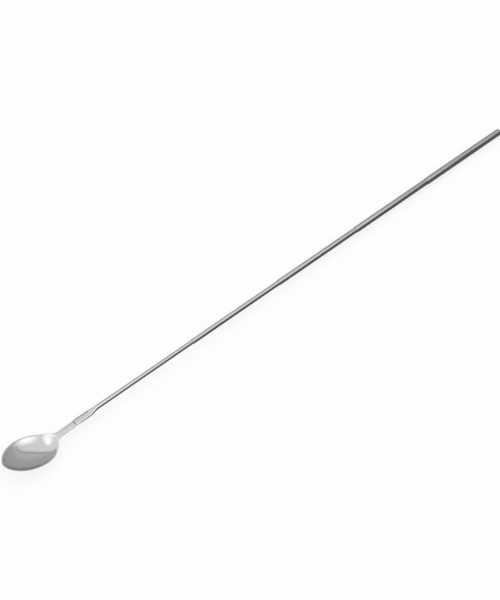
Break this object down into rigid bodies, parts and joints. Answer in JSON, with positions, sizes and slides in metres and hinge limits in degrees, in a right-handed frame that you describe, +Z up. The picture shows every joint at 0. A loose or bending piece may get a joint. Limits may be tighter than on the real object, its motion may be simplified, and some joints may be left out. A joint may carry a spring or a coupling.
{
  "type": "telescopic spoon",
  "caption": "Stainless steel spoon on a telescopic rod of nested round tubes, with an oval bowl, a short flat shank, a flattened socket and a rounded handle end; it draws out for reach.",
  "frame": {"origin": "middle of the object's box at its lowest level, where the spoon lies on a table", "axes": "+X along the rod from the bowl to the handle's end, +Y across the bowl, +Z up out of the bowl"},
  "size_m": [0.6452, 0.036, 0.0146],
  "materials": {
    "polished_steel": "polished stainless steel",
    "drawn_steel": "drawn and buffed stainless steel tube",
    "spring_bronze": "rolled phosphor bronze strip"
  },
  "bodies": {
    "handle": {"handle_tube": "drawn_steel", "handle_cap": "polished_steel"},
    "fourth_stage": {"fourth_tube": "drawn_steel"},
    "third_stage": {"third_tube": "drawn_steel"},
    "second_stage": {"second_tube": "drawn_steel"},
    "front_stage": {"front_tube": "drawn_steel", "spoon_head": "polished_steel"},
    "fourth_springs": {"fourth_spring_upper": "spring_bronze", "fourth_spring_lower": "spring_bronze"},
    "third_springs": {"third_spring_upper": "spring_bronze", "third_spring_lower": "spring_bronze"},
    "second_springs": {"second_spring_upper": "spring_bronze", "second_spring_lower": "spring_bronze"},
    "front_springs": {"front_spring_upper": "spring_bronze", "front_spring_lower": "spring_bronze"}
  },
  "joints": [
    {"name": "fourth_slide", "type": "slide", "parent": "handle", "child": "fourth_springs", "axis": [1, 0, -0.0079], "range_m": [0, 0.106]},
    {"name": "fourth_twist", "type": "hinge", "parent": "fourth_springs", "child": "fourth_stage", "pos_m": [0.19953, 0, 0.00453], "axis": [1, 0, -0.0079], "continuous": true},
    {"name": "third_slide", "type": "slide", "parent": "fourth_stage", "child": "third_springs", "axis": [1, 0, -0.0079], "range_m": [0, 0.106]},
    {"name": "third_twist", "type": "hinge", "parent": "third_springs", "child": "third_stage", "pos_m": [0.09254, 0, 0.00538], "axis": [1, 0, -0.0079], "continuous": true},
    {"name": "second_slide", "type": "slide", "parent": "third_stage", "child": "second_springs", "axis": [1, 0, -0.0079], "range_m": [0, 0.106]},
    {"name": "second_twist", "type": "hinge", "parent": "second_springs", "child": "second_stage", "pos_m": [-0.01446, 0, 0.00623], "axis": [1, 0, -0.0079], "continuous": true},
    {"name": "front_slide", "type": "slide", "parent": "second_stage", "child": "front_springs", "axis": [1, 0, -0.0079], "range_m": [0, 0.106]},
    {"name": "front_twist", "type": "hinge", "parent": "front_springs", "child": "front_stage", "pos_m": [-0.12145, 0, 0.00708], "axis": [1, 0, -0.0079], "continuous": true}
  ]
}
